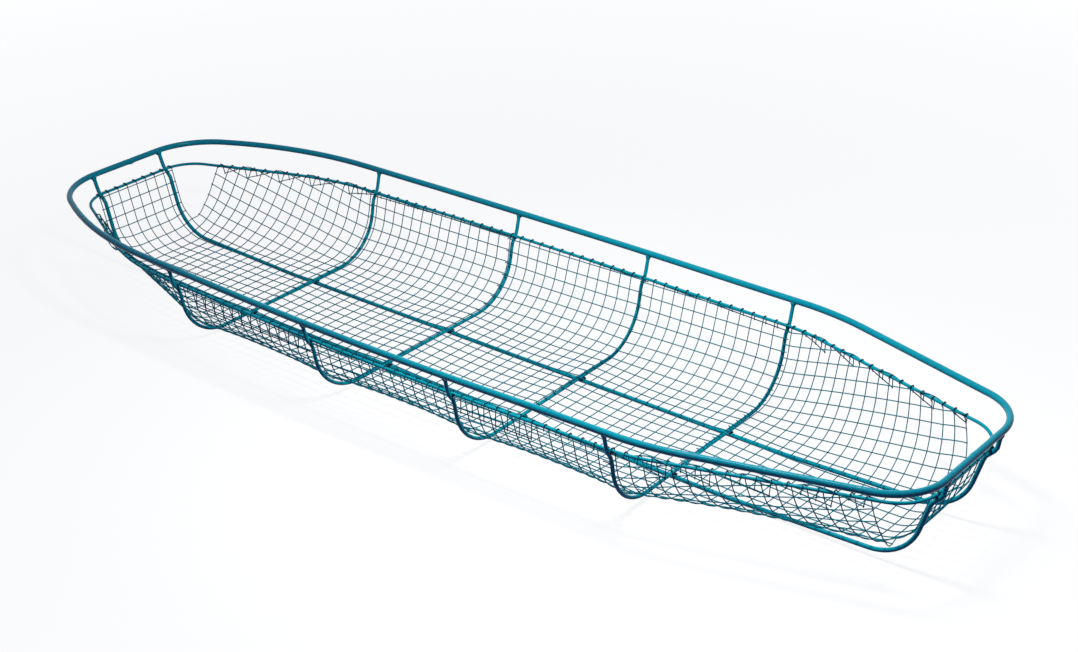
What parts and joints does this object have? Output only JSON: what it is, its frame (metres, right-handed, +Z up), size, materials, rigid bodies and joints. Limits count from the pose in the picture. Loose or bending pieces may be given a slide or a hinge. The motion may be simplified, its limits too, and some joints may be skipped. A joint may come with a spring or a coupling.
{
  "type": "basket stretcher",
  "caption": "Wire basket stretcher: tapered round-bar frame with bent ribs and two runners, lined with welded wire mesh whose edge is folded over the lower rail.",
  "frame": {"origin": "middle of the basket in plan, on the surface that its runners stand on", "axes": "+X along the basket towards the foot end, +Y to the patient's left, +Z up"},
  "size_m": [2, 0.634, 0.193],
  "materials": {
    "rail_paint": "semi-gloss",
    "rod_paint": "semi-gloss",
    "mesh_paint": "satin",
    "edge_wire": "satin"
  },
  "bodies": {
    "root": {"top_rail_left": "rail_paint", "top_rail_right": "rail_paint", "lower_rail_left": "rod_paint", "lower_rail_right": "rod_paint", "rib_1": "rod_paint", "rib_2": "rod_paint", "rib_3": "rod_paint", "rib_4": "rod_paint", "runner_left": "rod_paint", "runner_right": "rod_paint", "mesh_1_floor": "mesh_paint", "mesh_1_left_bilge": "mesh_paint", "mesh_1_left_wall": "mesh_paint", "mesh_1_right_bilge": "mesh_paint", "mesh_1_right_wall": "mesh_paint", "mesh_2_floor": "mesh_paint", "mesh_2_left_bilge": "mesh_paint", "mesh_2_left_wall": "mesh_paint", "mesh_2_right_bilge": "mesh_paint", "mesh_2_right_wall": "mesh_paint", "mesh_3_floor": "mesh_paint", "mesh_3_left_bilge": "mesh_paint", "mesh_3_left_wall": "mesh_paint", "mesh_3_right_bilge": "mesh_paint", "mesh_3_right_wall": "mesh_paint", "mesh_4_floor": "mesh_paint", "mesh_4_left_bilge": "mesh_paint", "mesh_4_left_wall": "mesh_paint", "mesh_4_right_bilge": "mesh_paint", "mesh_4_right_wall": "mesh_paint", "mesh_5_floor": "mesh_paint", "mesh_5_left_bilge": "mesh_paint", "mesh_5_left_wall": "mesh_paint", "mesh_5_right_bilge": "mesh_paint", "mesh_5_right_wall": "mesh_paint", "mesh_head_bend": "mesh_paint", "mesh_head_rise": "mesh_paint", "mesh_foot_bend": "mesh_paint", "mesh_foot_rise": "mesh_paint", "mesh_edge_left": "edge_wire", "mesh_edge_right": "edge_wire", "mesh_edge_head": "edge_wire", "mesh_edge_foot": "edge_wire"}
  },
  "joints": []
}
